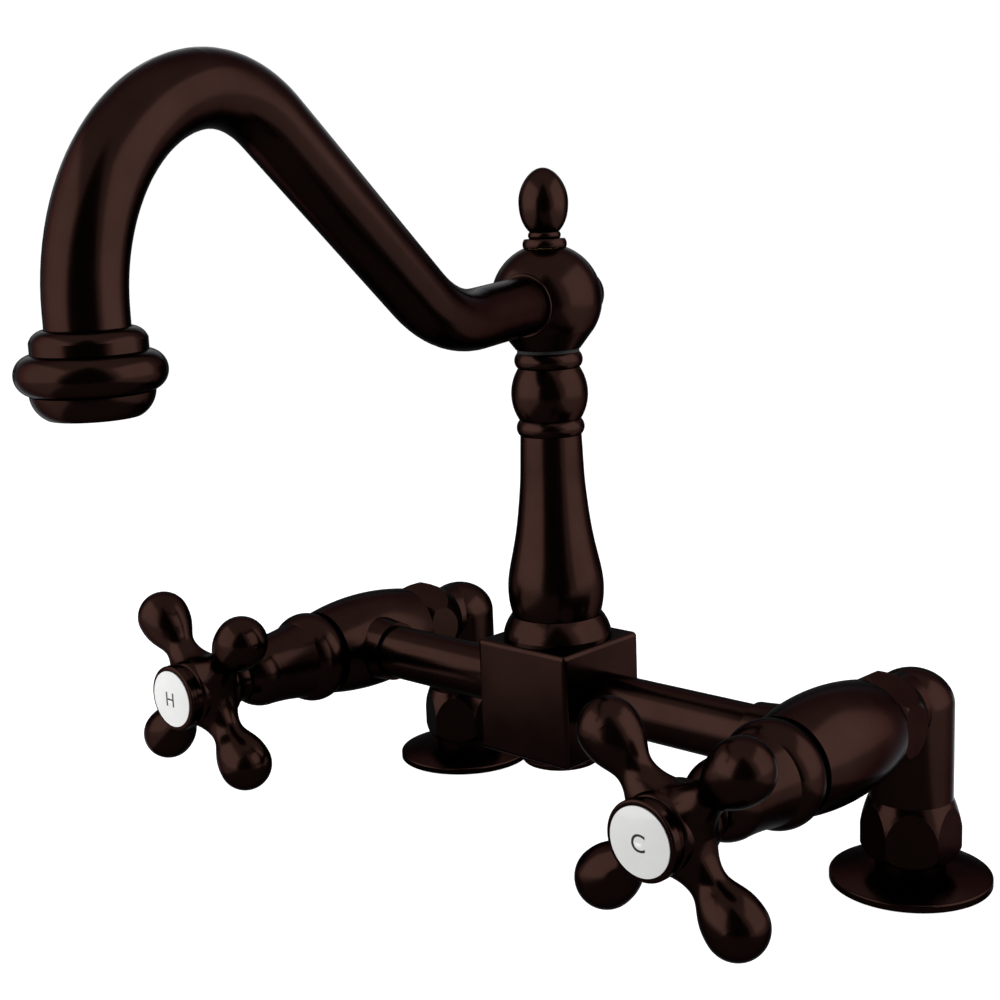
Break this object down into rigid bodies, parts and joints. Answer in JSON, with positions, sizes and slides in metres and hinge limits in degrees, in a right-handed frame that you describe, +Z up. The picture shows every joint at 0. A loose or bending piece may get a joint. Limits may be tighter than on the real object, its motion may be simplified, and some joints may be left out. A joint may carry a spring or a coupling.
{
  "type": "bridge kitchen faucet",
  "caption": "Deck-mounted bridge kitchen faucet: turned column with a swivelling gooseneck spout, and a cross handle with a white button at each end.",
  "frame": {"origin": "on the worktop, midway between the axes of the two shanks", "axes": "+X from the hot side to the cold side, -Y towards the user, +Z up"},
  "size_m": [0.2672, 0.3018, 0.3305],
  "materials": {
    "bronze": "oil-rubbed bronze over brass, satin, near black with brown highlights",
    "brass": "machined brass",
    "steel": "stainless steel",
    "porcelain": "glossy white porcelain",
    "alumina": "lapped alumina",
    "rubber": "black nitrile rubber",
    "nylon": "black nylon"
  },
  "bodies": {
    "faucet_body": {"centre_block": "bronze", "block_plug": "bronze", "column": "bronze", "pivot_post": "brass", "pivot_o_rings": "rubber", "pivot_bearing": "nylon", "pivot_washer": "steel", "pivot_nut": "brass", "finial": "bronze", "bridge_tube_hot": "bronze", "valve_body_hot": "bronze", "bonnet_hot": "bronze", "cartridge_hot": "brass", "seat_washer_hot": "rubber", "fixed_disc_hot": "alumina", "elbow_hot": "bronze", "union_washer_hot": "rubber", "deck_flange_hot": "bronze", "flange_gasket_hot": "rubber", "shank_hot": "brass", "deck_washer_hot": "steel", "lock_nut_hot": "brass", "bridge_tube_cold": "bronze", "valve_body_cold": "bronze", "bonnet_cold": "bronze", "cartridge_cold": "brass", "seat_washer_cold": "rubber", "fixed_disc_cold": "alumina", "elbow_cold": "bronze", "union_washer_cold": "rubber", "deck_flange_cold": "bronze", "flange_gasket_cold": "rubber", "shank_cold": "brass", "deck_washer_cold": "steel", "lock_nut_cold": "brass"},
    "spout": {"spout_hub": "bronze", "hub_plug": "bronze", "ferrule": "bronze", "spout_tube": "bronze", "nozzle": "bronze", "aerator_washer": "rubber", "aerator_strainer": "nylon", "aerator_screen": "steel", "aerator_housing": "bronze"},
    "hot_handle": {"handle_hot": "bronze", "handle_screw_hot": "steel", "button_ring_hot": "bronze", "button_hot": "porcelain", "spindle_hot": "brass", "spindle_clip_hot": "steel", "moving_disc_hot": "alumina"},
    "cold_handle": {"handle_cold": "bronze", "handle_screw_cold": "steel", "button_ring_cold": "bronze", "button_cold": "porcelain", "spindle_cold": "brass", "spindle_clip_cold": "steel", "moving_disc_cold": "alumina"}
  },
  "joints": [
    {"name": "spout_swivel", "type": "hinge", "parent": "faucet_body", "child": "spout", "pos_m": [0, -0.056, 0.1923], "axis": [0, 0, 1], "continuous": true},
    {"name": "hot_turn", "type": "hinge", "parent": "faucet_body", "child": "hot_handle", "pos_m": [-0.1016, -0.128, 0.0605], "axis": [0, -1, 0], "range_deg": [0, 90]},
    {"name": "cold_turn", "type": "hinge", "parent": "faucet_body", "child": "cold_handle", "pos_m": [0.1016, -0.128, 0.0605], "axis": [0, 1, 0], "range_deg": [0, 90]}
  ]
}
